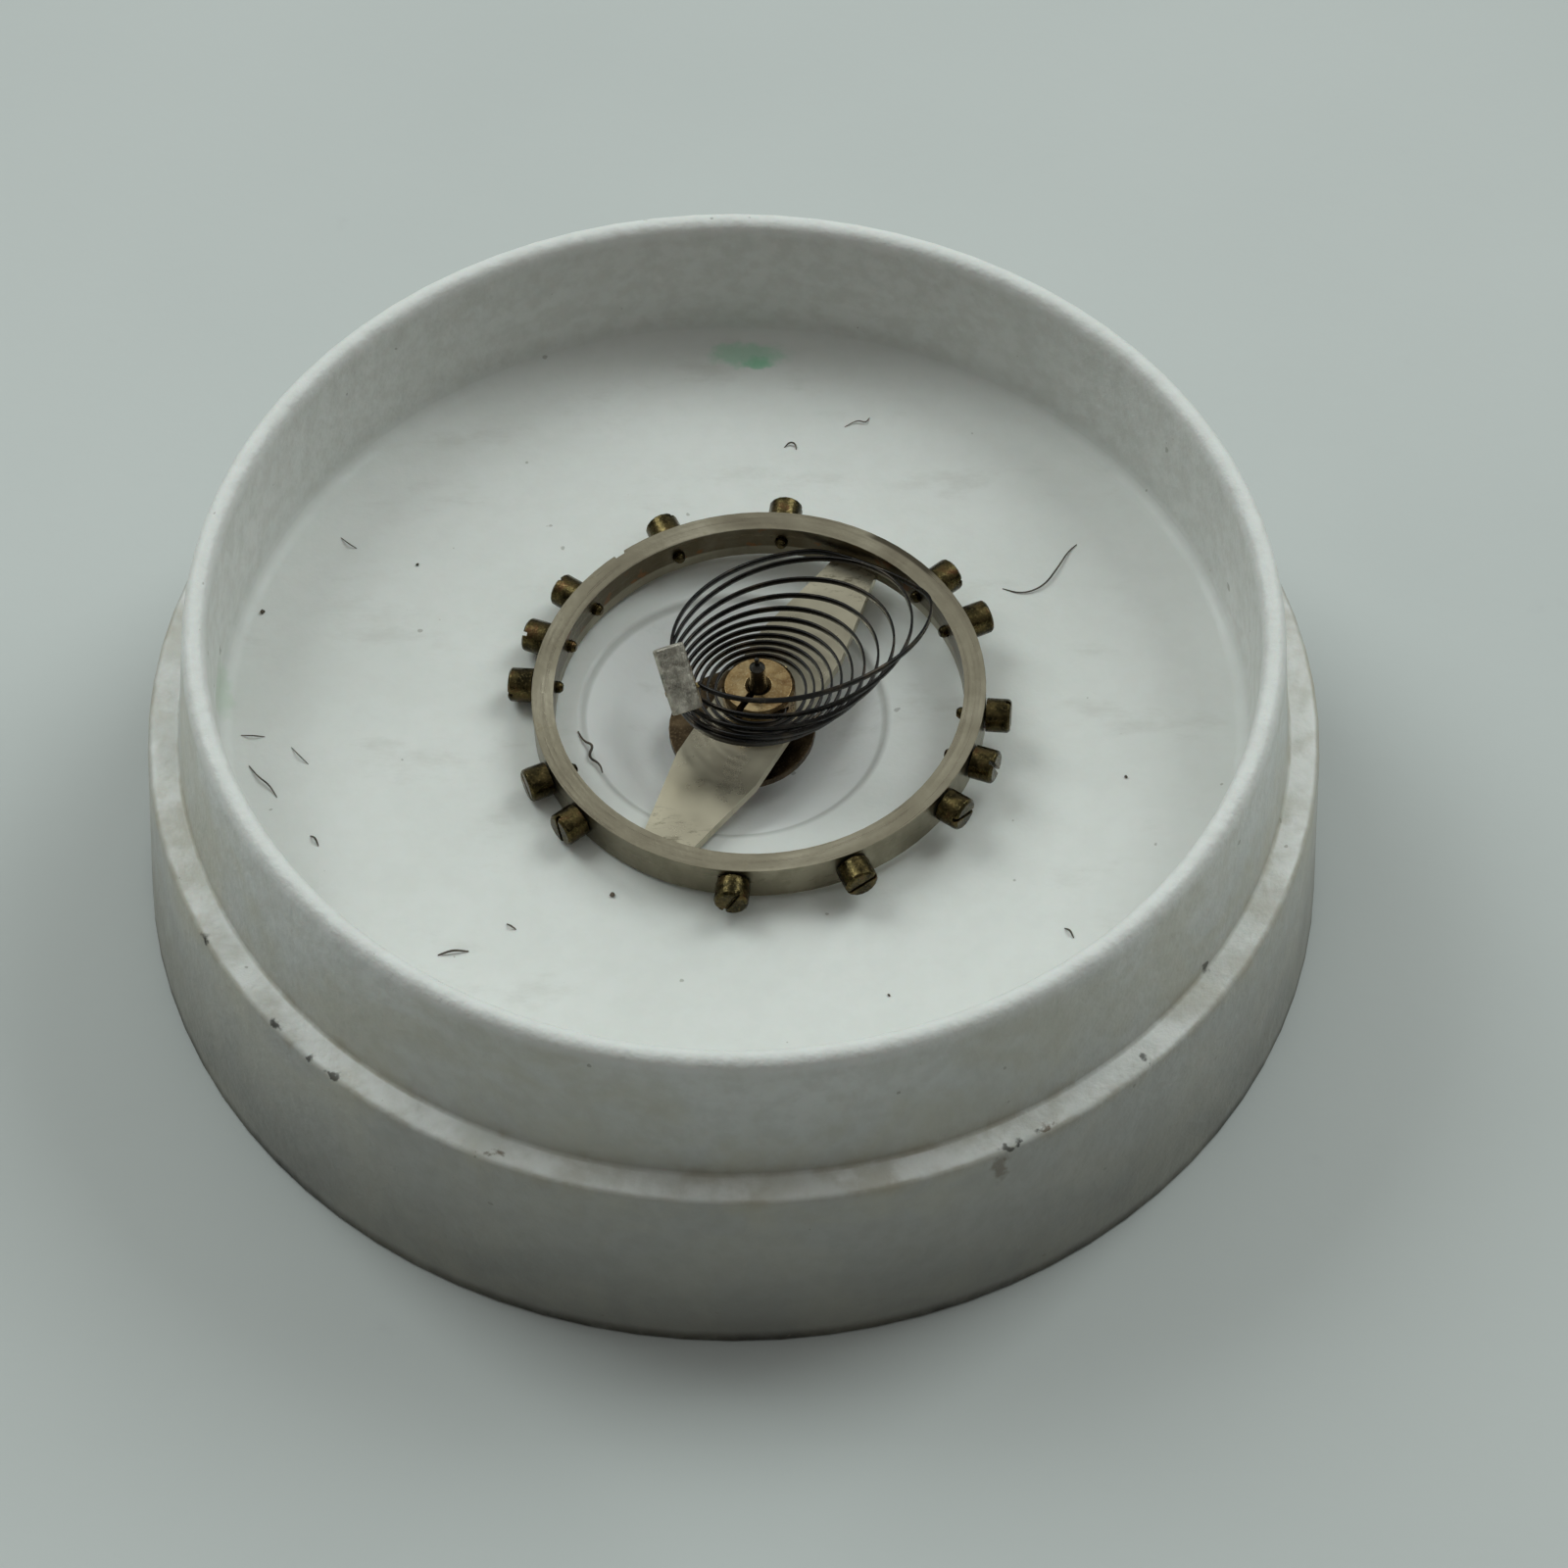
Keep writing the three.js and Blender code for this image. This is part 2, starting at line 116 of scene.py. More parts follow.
def make_area_light(name, place, aim, size, power, colour):
    data = bpy.data.lights.new(name, "AREA")
    data.shape = "RECTANGLE"
    data.size, data.size_y = size
    data.energy = power
    data.color = colour
    lamp = bpy.data.objects.new(name, data)
    bpy.context.scene.collection.objects.link(lamp)
    lamp.location = place
    direction = Vector(aim) - Vector(place)
    lamp.rotation_mode = "QUATERNION"
    lamp.rotation_quaternion = direction.to_track_quat("-Z", "Y")


def make_lights():
    """Two soft boxes behind the dish, left and right, in a room darker low down and in front."""
    for name, x in (("left_box", -0.20), ("right_box", 0.20)):
        make_area_light(name, (x, 0.15, 0.27), (0, 0, 0.004), (0.16, 0.2), 0.40, (0.91, 1.0, 0.98))
    world = bpy.data.worlds.new("room")
    bpy.context.scene.world = world
    world.use_nodes = True
    nodes, links = world.node_tree.nodes, world.node_tree.links
    direction = nodes.new("ShaderNodeTexCoord").outputs["Generated"]
    towards_light = nodes.new("ShaderNodeVectorMath")
    towards_light.operation = "DOT_PRODUCT"
    towards_light.inputs[1].default_value = (0, 0.42, 0.9)
    ramp = nodes.new("ShaderNodeValToRGB")
    links.new(direction, towards_light.inputs[0])
    links.new(towards_light.outputs["Value"], ramp.inputs[0])
    links.new(ramp.outputs[0], nodes["Background"].inputs["Color"])
    low, high = ramp.color_ramp.elements
    low.position, low.color = 0.05, (0.03, 0.026, 0.02, 1)
    high.position, high.color = 0.9, (0.435, 0.45, 0.435, 1)
    nodes["Background"].inputs["Strength"].default_value = 1.0
    bpy.context.scene.view_settings.view_transform = "Standard"


# ------------------------------------------------------------ shader helpers

class Shader:
    """A material's node tree, written with short calls that pass sockets along."""

    def __init__(self, name, roughness, metallic=0.0, specular=0.5, **constants):
        self.material = bpy.data.materials.new(name)
        self.material.use_nodes = True
        self.tree = self.material.node_tree
        self.surface = self.tree.nodes["Principled BSDF"]
        self.surface.inputs["Roughness"].default_value = roughness
        self.surface.inputs["Metallic"].default_value = metallic
        self.surface.inputs["Specular IOR Level"].default_value = specular
        for socket, value in constants.items():
            self.surface.inputs[socket.replace("_", " ")].default_value = value

    def node(self, kind, inputs, **settings):
        made = self.tree.nodes.new("ShaderNode" + kind)
        for name, value in settings.items():
            setattr(made, name, value)
        for socket, value in inputs.items():
            if isinstance(value, bpy.types.NodeSocket):
                self.tree.links.new(value, made.inputs[socket])
            elif value is not None:
                made.inputs[socket].default_value = value
        return made

    def place(self):
        """The frame's coordinates, in millimetres."""
        spot = self.node("TexCoord", {}).outputs["Object"]
        return self.node("Mapping", {"Vector": spot, "Scale": (1 / MM,) * 3}).outputs[0]

    def place_on_balance(self):
        """The balance's own coordinates, in millimetres."""
        spot = self.node("TexCoord", {}).outputs["Object"]
        inputs = {"Vector": spot, "Location": BALANCE_ORIGIN,
                  "Rotation": BALANCE_TURN.to_euler(), "Scale": (MM,) * 3}
        return self.node("Mapping", inputs, vector_type="TEXTURE").outputs[0]

    def stretch(self, vector, scale):
        return self.node("Mapping", {"Vector": vector, "Scale": scale}).outputs[0]

    def noise(self, vector, size, detail=4.0, roughness=0.55, distortion=0.0):
        """Noise from 0 to 1 whose lumps are about size across."""
        inputs = {"Vector": vector, "Scale": 1 / size, "Detail": detail,
                  "Roughness": roughness, "Distortion": distortion}
        return self.node("TexNoise", inputs).outputs[0]

    def maths(self, operation, a, b=None, clamp=False):
        return self.node("Math", {0: a, 1: b}, operation=operation, use_clamp=clamp).outputs[0]

    def times(self, a, b):
        return self.maths("MULTIPLY", a, b)

    def grade(self, value, low, high, to_low=0.0, to_high=1.0):
        """Takes low..high to to_low..to_high smoothly, and holds the ends."""
        inputs = {"Value": value, "From Min": low, "From Max": high,
                  "To Min": to_low, "To Max": to_high}
        return self.node("MapRange", inputs, interpolation_type="SMOOTHSTEP").outputs[0]

    def blend(self, share, a, b):
        """Colour b over colour a."""
        made = self.node("Mix", {0: share}, data_type="RGBA", blend_type="MIX")
        for socket, value in ((6, a), (7, b)):
            if isinstance(value, bpy.types.NodeSocket):
                self.tree.links.new(value, made.inputs[socket])
            else:
                made.inputs[socket].default_value = (*value, 1)
        return made.outputs[2]

    def ramp(self, value, *stops):
        made = self.node("ValToRGB", {"Fac": value})
        elements = made.color_ramp.elements
        while len(elements) < len(stops):
            elements.new(0.5)
        for element, (position, colour) in zip(elements, stops):
            element.position = position
            element.color = (*colour, 1)
        return made.outputs[0]

    def polar(self, vector):
        """Radius, angle in radians and height of a vector."""
        x, y, z = self.node("SeparateXYZ", {"Vector": vector}).outputs
        radius = self.maths("SQRT", self.maths("ADD", self.times(x, x), self.times(y, y)))
        return radius, self.maths("ARCTAN2", y, x), z

    def combine(self, x, y, z):
        return self.node("CombineXYZ", {0: x, 1: y, 2: z}).outputs[0]

    def near(self, vector, centre, reach, soft=0.5):
        """1 inside a lump of about reach round centre, falling to 0 outside it."""
        moved = self.node("VectorMath", {0: vector, 1: centre}, operation="SUBTRACT").outputs[0]
        shares = tuple(1 / r for r in reach)
        scaled = self.node("VectorMath", {0: moved, 1: shares}, operation="MULTIPLY").outputs[0]
        distance = self.node("VectorMath", {0: scaled}, operation="LENGTH").outputs["Value"]
        return self.grade(distance, 1 - soft, 1 + soft, 1, 0)

    def bump(self, height, distance, strength=1.0):
        inputs = {"Height": height, "Distance": distance * MM, "Strength": strength}
        return self.node("Bump", inputs).outputs[0]

    def finish(self, colour=None, roughness=None, normal=None):
        for socket, value in (("Base Color", colour), ("Roughness", roughness), ("Normal", normal)):
            if value is not None:
                self.tree.links.new(value, self.surface.inputs[socket])
        return self.material


def at(angle, radius, z):
    """A point of the dish, from its azimuth in degrees and its radius, in millimetres."""
    a = math.radians(angle)
    return (radius * math.cos(a), radius * math.sin(a), z)


# ---------------------------------------------------------------- materials

# Chips and stains on the dish: where, how far they reach, their colour and how strong they are
DARK_GRIME = (0.035, 0.032, 0.026)
BROWN_GRIME = (0.19, 0.14, 0.09)
GREEN_INK = (0.16, 0.60, 0.33)
GREEN_TINGE = (0.42, 0.6, 0.4)
DISH_MARKS = [
    (at(-151.0, 12.55, STEP_Z - 0.05), (0.09, 0.26, 0.09), DARK_GRIME, 0.95),
    (at(-139.0, 12.4, STEP_Z), (0.2, 0.17, 0.07), DARK_GRIME, 0.9),
    (at(-134.2, 12.4, STEP_Z), (0.13, 0.12, 0.06), DARK_GRIME, 0.8),
    (at(-131.2, 12.46, STEP_Z), (0.18, 0.13, 0.06), DARK_GRIME, 0.8),
    (at(-113.1, 12.26, STEP_Z), (0.17, 0.1, 0.07), BROWN_GRIME, 0.8),
    (at(-63.4, 12.5, STEP_Z), (0.2, 0.09, 0.05), DARK_GRIME, 0.8),
    (at(-61.8, 12.5, STEP_Z), (0.2, 0.1, 0.05), DARK_GRIME, 0.85),
    (at(-60.2, 12.49, STEP_Z), (0.2, 0.12, 0.06), DARK_GRIME, 0.85),
    (at(-58.8, 12.47, STEP_Z), (0.2, 0.1, 0.05), BROWN_GRIME, 0.8),
    (at(-64.4, 12.56, STEP_Z - 0.55), (0.15, 0.2, 0.36), BROWN_GRIME, 0.6),
    (at(-47.0, 12.3, STEP_Z), (0.1, 0.09, 0.06), DARK_GRIME, 0.8),
    (at(-34.5, 11.85, STEP_Z + 0.1), (0.09, 0.1, 0.1), DARK_GRIME, 0.8),
    (at(161.0, 11.35, DISH_HEIGHT - 0.3), (0.1, 0.2, 0.1), DARK_GRIME, 0.7),
    (at(88.5, 10.25, FLOOR_Z), (0.80, 0.34, 0.2), GREEN_INK, 0.42),
    (at(87.0, 10.0, FLOOR_Z), (0.34, 0.16, 0.2), GREEN_INK, 0.5),
    (at(178, 10.95, FLOOR_Z + 0.3), (0.25, 0.6, 0.5), GREEN_TINGE, 0.3),
]


def dish_plastic():
    """White plastic, mottled on its walls, yellowed and dirty outside, chipped and stained at DISH_MARKS;
    painted shade darkens its outer skirt, collar corner, foot and recess ring, and painted light brightens
    its recess and lip.
    """
    s = Shader("dish_plastic", roughness=0.42, specular=0.45,
               Subsurface_Weight=0.06, Subsurface_Scale=0.0006)
    place = s.place()
    radius, _, z = s.polar(place)
    inside = s.grade(radius, WELL_R - 0.2, WELL_R - 0.1, 1, 0)
    broad = s.noise(place, 5.0, detail=3)
    fine = s.noise(place, 0.42, detail=5)
    colour = s.ramp(broad, (0.3, (0.735, 0.75, 0.72)), (0.7, (0.80, 0.81, 0.785)))
    wall = s.grade(radius, WELL_R - 0.12, WELL_R - 0.02, 0.25, 1.0)
    mottle = s.times(s.grade(fine, 0.36, 0.66, 0.0, 0.36), wall)
    colour = s.blend(mottle, colour, (0.58, 0.575, 0.53))
    # Painted light: the sunk recess in the floor is painted lighter, to cancel the shade its sloping sides
    # take.
    in_recess = s.grade(radius, RECESS_R, RECESS_R + 0.08, 1, 0)
    recess_painted_light = s.times(in_recess, s.grade(z, FLOOR_Z - 0.06, FLOOR_Z - 0.02, 1, 0))
    colour = s.blend(recess_painted_light, colour, (0.89, 0.895, 0.88))
    # Painted shade: a thin darker ring drawn along the crease at the recess's edge.
    from_ring = s.maths("ABSOLUTE", s.maths("SUBTRACT", radius, RECESS_R + 0.13))
    ring = s.times(s.grade(from_ring, 0.03, 0.14, 0.5, 0), inside)
    colour = s.blend(ring, colour, (0.50, 0.50, 0.475))

    outside = s.grade(radius, COLLAR_FOOT_R - 0.5, COLLAR_FOOT_R - 0.2)
    # Painted shade: the outside of the dish below the step is darker, most towards the bottom.
    skirt_painted_shade = s.grade(z, 0.0, STEP_Z - 0.3, 0.85, 0.5)
    skirt_painted_shade = s.times(s.times(outside, skirt_painted_shade), s.grade(z, STEP_Z - 0.12, STEP_Z - 0.02, 1, 0))
    colour = s.blend(skirt_painted_shade, colour, (0.225, 0.216, 0.192))
    # Painted shade: the collar's outer face darkens down into its corner with the step.
    on_collar = s.grade(radius, COLLAR_FOOT_R - 0.42, COLLAR_FOOT_R - 0.36)
    on_collar = s.times(on_collar, s.grade(z, STEP_Z + 0.05, STEP_Z + 0.1))
    collar_corner_shade = s.times(on_collar, s.grade(z, STEP_Z, DISH_HEIGHT - 0.5, 0.4, 0.0))
    colour = s.blend(collar_corner_shade, colour, (0.36, 0.355, 0.33))
    # Painted shadow: a dark band, broken up by noise, along the foot of the dish where it meets the table.
    foot_painted_shadow = s.grade(s.noise(place, 0.6, detail=5), 0.3, 0.55, 0.65, 1.0)
    foot_painted_shadow = s.times(s.grade(z, 0.08, 0.42, 1, 0), foot_painted_shadow)
    colour = s.blend(foot_painted_shadow, colour, (0.06, 0.055, 0.045))
    low = s.grade(z, STEP_Z - 1.6, STEP_Z + 0.1, 0.35, 1.0)
    soiled = s.grade(s.noise(place, 2.6, detail=5, distortion=0.6), 0.38, 0.66)
    yellow = s.times(s.times(outside, low), s.times(soiled, 0.5))
    colour = s.blend(yellow, colour, (0.58, 0.55, 0.43))
    on_step = s.grade(s.maths("ABSOLUTE", s.maths("SUBTRACT", z, STEP_Z)), 0.05, 0.4, 1, 0)
    step_dirt = s.times(s.times(outside, on_step), s.grade(s.noise(place, 0.9, detail=6), 0.45, 0.62))
    colour = s.blend(s.times(step_dirt, 0.4), colour, (0.42, 0.37, 0.27))

    smears = s.noise(s.stretch(place, (0.5, 1.2, 1)), 1.8, detail=7, roughness=0.65)
    smears = s.grade(smears, 0.56, 0.72, 0, 0.3)
    colour = s.blend(s.times(smears, inside), colour, (0.50, 0.49, 0.44))
    # Painted highlight: the rounded top of the well's inner wall is painted lighter.
    lip_painted_highlight = s.times(s.grade(radius, WELL_R - 0.1, WELL_R), s.grade(z, DISH_HEIGHT - 0.45, DISH_HEIGHT - 0.15))
    colour = s.blend(s.times(lip_painted_highlight, 0.5), colour, (0.90, 0.915, 0.90))
    ledge = s.times(s.grade(radius, 11.86, 11.92), s.grade(z, STEP_Z - 0.06, STEP_Z - 0.01))
    ledge = s.times(ledge, s.grade(s.noise(place, 1.3, detail=5), 0.38, 0.58, 1.0, 0.25))
    colour = s.blend(ledge, colour, (0.93, 0.935, 0.91))
    specks = s.grade(s.noise(place, 0.3, detail=2, roughness=0.3), 0.775, 0.79)
    colour = s.blend(s.times(specks, 0.5), colour, (0.25, 0.23, 0.19))

    wander = s.node("TexNoise", {"Vector": place, "Scale": 3.2, "Detail": 5.0}).outputs[1]
    wander = s.node("VectorMath", {0: wander, 1: (0.5, 0.5, 0.5)}, operation="SUBTRACT").outputs[0]
    wander = s.node("VectorMath", {0: wander, "Scale": 0.55}, operation="SCALE").outputs[0]
    ragged = s.node("VectorMath", {0: wander, 1: place}, operation="ADD").outputs[0]
    for centre, reach, tint, strength in DISH_MARKS:
        colour = s.blend(s.times(s.near(ragged, centre, reach, soft=0.4), strength), colour, tint)

    grain = s.noise(place, 0.16, detail=3)
    lumps = s.noise(place, 0.45, detail=4)
    waves = s.noise(place, 1.7, detail=2)
    height = s.maths("ADD", s.times(s.maths("ADD", s.times(grain, 0.5), s.times(lumps, 1.1)), wall), waves)
    roughness = s.grade(s.noise(place, 1.1, detail=5), 0.3, 0.7, 0.40, 0.60)
    return s.finish(colour, roughness, s.bump(height, 0.038, 0.9))


def metal(name, colours, roughness, size, wear, bump=0.004, stretch=(1, 1, 1)):
    """Metal whose colour wanders through colours in patches of about size, with fine scratches."""
    s = Shader(name, roughness=roughness, metallic=1.0)
    place = s.place_on_balance()
    patches = s.noise(place, size, detail=6, distortion=0.4)
    steps = [(0.3 + 0.4 * i / (len(colours) - 1), c) for i, c in enumerate(colours)]
    colour = s.ramp(patches, *steps)
    scratched = s.noise(s.stretch(place, stretch), 0.05, detail=3)
    colour = s.blend(s.times(s.grade(scratched, 0.5, 0.75), 0.6), colour, wear)
    rough = s.noise(place, size * 0.5, detail=5)
    rough = s.grade(rough, 0.3, 0.7, roughness * 0.75, roughness * 1.35)
    height = s.maths("ADD", scratched, s.times(s.noise(place, 0.2, detail=4), 1.5))
    return s.finish(colour, rough, s.bump(height, bump))


def nickel_rim():
    """Satin nickel silver, tarnished brown on the rim's inner wall, and smoother on the arm."""
    s = Shader("nickel_rim", roughness=0.34, metallic=1.0)
    place = s.place_on_balance()
    radius, angle, z = s.polar(place)
    patches = s.noise(place, 1.6, detail=6, distortion=0.5)
    colour = s.ramp(patches, (0.3, (0.235, 0.205, 0.15)), (0.52, (0.31, 0.277, 0.205)),
                    (0.72, (0.42, 0.38, 0.29)))
    inner = s.times(s.grade(radius, 4.37, 4.39, 1, 0), s.grade(z, 0.25, 0.3))
    inner = s.times(inner, s.grade(z, 0.82, 0.85, 1, 0))
    brown = s.times(inner, s.grade(s.noise(place, 0.8, detail=5), 0.3, 0.6, 0.75, 1.0))
    colour = s.blend(brown, colour, (0.115, 0.09, 0.052))
    rust = s.times(inner, s.grade(s.noise(place, 0.45, detail=3), 0.6, 0.68))
    colour = s.blend(s.times(rust, 0.7), colour, (0.24, 0.10, 0.035))
    turned = s.combine(s.times(radius, 18.0), s.times(angle, 2.0), s.times(z, 18.0))
    lines = s.noise(turned, 1.0, detail=4)
    grime = s.times(s.grade(s.noise(place, 0.35, detail=6), 0.6, 0.74), s.grade(radius, 4.2, 4.36, 0.0, 1.0))
    colour = s.blend(s.times(grime, 0.4), colour, (0.17, 0.14, 0.09))
    arm = s.grade(radius, 4.28, 4.34, 1, 0)
    outer = s.grade(radius, 4.79, 4.815)
    streaks = s.noise(s.combine(s.times(angle, 9.0), s.times(z, 0.8), 0.0), 1.0, detail=5)
    colour = s.blend(s.times(outer, s.grade(streaks, 0.42, 0.62, 0.25, 0.7)), colour, (0.20, 0.18, 0.125))
    # Painted sheen: the arm is painted a lighter nickel, standing in for the bright reflections of its
    # polish.
    level = s.grade(z, 0.23, 0.26, 1, 0)
    colour = s.blend(s.times(s.times(arm, level), 0.85), colour, (0.68, 0.622, 0.475))
    shade = s.times(arm, s.grade(s.noise(place, 1.1, detail=2), 0.42, 0.62, 0.0, 0.25))
    colour = s.blend(shade, colour, (0.36, 0.33, 0.245))
    scratch = s.noise(s.stretch(place, (1, 3.0, 1)), 0.35, detail=8, roughness=0.75)
    worn = s.times(s.times(s.grade(radius, 3.1, 3.9), s.grade(scratch, 0.52, 0.62)), arm)
    colour = s.blend(s.times(worn, 0.75), colour, (0.20, 0.175, 0.12))
    strip = s.near(place, (3.2, 3.6, RIM_HEIGHT), (1.0, 0.75, 0.3), soft=0.2)
    strip = s.times(strip, s.grade(radius, 4.66, 4.72))
    colour = s.blend(s.times(strip, 0.85), colour, (0.06, 0.05, 0.035))
    satin = s.times(s.grade(lines, 0.3, 0.7, 0.26, 0.40), s.grade(arm, 0, 1, 1, 0))
    polish = s.times(s.grade(s.noise(place, 0.9, detail=4), 0.3, 0.7, 0.26, 0.36), arm)
    rough = s.maths("ADD", s.maths("ADD", satin, polish), s.times(grime, 0.15), clamp=True)
    scuffs = s.times(s.noise(place, 0.12, detail=6), s.grade(arm, 0, 1, 1.0, 0.03))
    dents = s.times(s.noise(place, 1.5, detail=1), s.times(arm, 5.0))
    scuffs = s.maths("ADD", scuffs, dents)
    height = s.maths("ADD", s.times(lines, s.grade(arm, 0, 1, 0.5, 0.0)), scuffs)
    return s.finish(colour, rough, s.bump(height, 0.006))


def screw_brass():
    return metal(
        "screw_brass",
        [(0.014, 0.012, 0.006), (0.042, 0.033, 0.014), (0.10, 0.076, 0.031), (0.10, 0.05, 0.024)],
        0.27, 0.32, wear=(0.22, 0.165, 0.075), bump=0.005)


def staff_steel():
    return metal(
        "staff_steel", [(0.035, 0.033, 0.03), (0.07, 0.065, 0.058), (0.13, 0.12, 0.105)],
        0.3, 0.3, wear=(0.2, 0.18, 0.15), bump=0.002, stretch=(1, 1, 14))


def collet_brass():
    return metal(
        "collet_brass", [(0.17, 0.09, 0.04), (0.33, 0.22, 0.10), (0.49, 0.37, 0.20)],
        0.27, 0.5, wear=(0.60, 0.49, 0.30), bump=0.0025)


def pin_brass():
    return metal(
        "pin_brass", [(0.40, 0.29, 0.12), (0.58, 0.44, 0.21)], 0.32, 0.15, wear=(0.7, 0.58, 0.36))


def roller_bronze():
    # Dark bronze made darker still: painted shade for the deep shade the rollers sit in under the balance.
    return metal(
        "roller_bronze", [(0.035, 0.024, 0.014), (0.075, 0.052, 0.03), (0.15, 0.105, 0.06)],
        0.36, 0.6, wear=(0.22, 0.16, 0.095), bump=0.003)


def ruby():
    s = Shader("ruby", roughness=0.06, specular=0.6, Transmission_Weight=0.55, IOR=1.76)
    place = s.place_on_balance()
    colour = s.ramp(s.noise(place, 0.2, detail=3), (0.35, (0.42, 0.01, 0.03)), (0.7, (0.68, 0.03, 0.08)))
    rough = s.grade(s.noise(place, 0.06, detail=4), 0.4, 0.7, 0.04, 0.16)
    return s.finish(colour, rough, s.bump(s.noise(place, 0.1), 0.001))


def blued_steel():
    s = Shader("blued_steel", roughness=0.3, metallic=1.0)
    place = s.place_on_balance()
    colour = s.ramp(s.noise(place, 0.7, detail=5), (0.3, (0.02, 0.02, 0.022)),
                    (0.55, (0.035, 0.032, 0.03)), (0.72, (0.085, 0.066, 0.05)))
    rough = s.grade(s.noise(place, 0.25, detail=4), 0.3, 0.7, 0.24, 0.42)
    return s.finish(colour, rough, s.bump(s.noise(place, 0.08), 0.002))


def stud_steel():
    return metal(
        "stud_steel", [(0.14, 0.13, 0.11), (0.50, 0.465, 0.40), (0.84, 0.80, 0.71)],
        0.42, 0.3, wear=(0.90, 0.87, 0.79), bump=0.02, stretch=(3, 1, 1))


def table_top():
    """A plain pale sheet with a few faint marks."""
    s = Shader("table_top", roughness=0.75, specular=0.2)
    place = s.place()
    colour = s.ramp(s.noise(place, 22.0, detail=3), (0.3, (0.60, 0.63, 0.62)), (0.7, (0.645, 0.675, 0.665)))
    faint = s.grade(s.noise(place, 2.2, detail=4), 0.68, 0.8, 0, 0.12)
    colour = s.blend(faint, colour, (0.42, 0.42, 0.44))
    return s.finish(colour, None, s.bump(s.noise(place, 0.8, detail=4), 0.02, 0.4))


# ------------------------------------------------------------ mesh helpers

def clear_baked_shading(node):
    """Lets the modifiers shade a CAD mesh: its flat normals and sharp marks go, its corners stay."""
    mesh = node.data
    for name in ("custom_normal", "sharp_edge", "sharp_face"):
        attribute = mesh.attributes.get(name)
        if attribute:
            mesh.attributes.remove(attribute)
    mesh.shade_smooth()


def soften(node, width):
    """Joins the CAD mesh's split corners, rounds its edges and shades it smooth between them."""
    clear_baked_shading(node)
    weld = node.modifiers.new("weld", "WELD")
    weld.merge_threshold = 1e-7
    bevel = node.modifiers.new("bevel", "BEVEL")
    bevel.width = width * MM
    bevel.segments = 3
    bevel.limit_method = "ANGLE"
    bevel.angle_limit = math.radians(32)
    bevel.harden_normals = True


def paint(node, material):
    node.data.materials.clear()
    node.data.materials.append(material)


def dress_cad_nodes():
    bronze, brass, pins = roller_bronze(), screw_brass(), pin_brass()
    finishes = {
        "dish": (dish_plastic(), 0.08), "balance_wheel": (nickel_rim(), 0.025),
        "balance_staff": (staff_steel(), 0.01), "hairspring_collet": (collet_brass(), 0.015),
        "collet_pin": (pins, 0.01), "stud_pin": (pins, 0.01),
        "roller_table": (bronze, 0.02), "safety_roller": (bronze, 0.015),
        "impulse_jewel": (ruby(), 0.01), "hairspring_stud": (stud_steel(), 0.03),
    }
    for name, node in NODES.items():
        if name == "hairspring":
            continue
        material, width = finishes.get(name, (brass, 0.03))
        paint(node, material)
        soften(node, width)


# --------------------------------------------------------------- hairspring

# The ribbon's section and the numbers of its path, in millimetres, turns and radians; u runs
# from 0 at the collet to 1 at the stud. part.mjs shapes its hairspring by the same ones.
RIBBON_HEIGHT = 0.14
RIBBON_THICKNESS = 0.05
SPRING_TURNS = 11.23
SPRING_END_ANGLE = math.radians(226.8)
SPRING_INNER_R = 0.855
SPRING_GROWTH = 0.176
SPRING_FLARE = 0.21
SPRING_SHIFT = (1.07, 1.675)
SPRING_FLATTENING = 0.14
SPRING_LONG_AXIS = math.radians(43)
SPRING_REST_Z = RIM_HEIGHT - 0.125
SPRING_LIFT = 1.1
SPRING_LOW_SIDE = math.radians(114.6)
SPRING_RISE = 0.27
SPRING_DIP = 0.66
DIP_CENTRE = 0.52
DIP_HALF_WIDTH = 0.36
OVERCOIL_START = 0.955
OVERCOIL = (-0.178, -0.308, 0.315)
LIMIT_R = 4.24
LIMIT_SOFTNESS = 0.05
INNER_END = (0.56, -0.52)
INNER_REACH = 0.5
INNER_BEND = 0.01
SPRING_STEPS_PER_TURN = 96
FREE_TURNS = 6.0


def smoothstep(value, low, high):
    t = np.clip((value - low) / (high - low), 0, 1)
    return t * t * (3 - 2 * t)


def spring_line(u):
    """The ribbon's middle line, from the collet at u = 0 to the stud at u = 1."""
    turns_left = SPRING_TURNS * (1 - u)
    angle = SPRING_END_ANGLE + 2 * math.pi * turns_left
    radius = SPRING_INNER_R + SPRING_GROWTH * SPRING_TURNS * u + SPRING_FLARE * u ** 4
    along = radius * np.cos(angle - SPRING_LONG_AXIS)
    across = radius * (1 - SPRING_FLATTENING * u ** 1.5) * np.sin(angle - SPRING_LONG_AXIS)
    c, s = math.cos(SPRING_LONG_AXIS), math.sin(SPRING_LONG_AXIS)
    towards_stud = (1 - np.cos(angle - SPRING_LOW_SIDE)) / 2
    from_dip = np.minimum(np.abs(turns_left - DIP_CENTRE) / DIP_HALF_WIDTH, 1)
    overcoil = smoothstep(u, OVERCOIL_START, 1)
    x = SPRING_SHIFT[0] * u ** 3.1 + along * c - across * s + OVERCOIL[0] * overcoil
    y = SPRING_SHIFT[1] * u ** 4.2 + along * s + across * c + OVERCOIL[1] * overcoil
    z = SPRING_REST_Z + SPRING_LIFT * u ** 1.5 * towards_stud + SPRING_RISE * u ** 2.8
    z += OVERCOIL[2] * overcoil - SPRING_DIP * np.cos(math.pi / 2 * from_dip) ** 2
    from_staff = np.hypot(x, y)
    excess = np.log1p(np.exp((from_staff - LIMIT_R) / LIMIT_SOFTNESS))
    scale = 1 - LIMIT_SOFTNESS * excess / from_staff
    x, y = x * scale, y * scale
    straight = 1 - smoothstep(u, 0, INNER_BEND)
    x += (INNER_END[0] - x) * straight
    y += (INNER_END[1] - INNER_REACH * u / INNER_BEND - y) * straight
    return np.stack([x, y, z], axis=1)


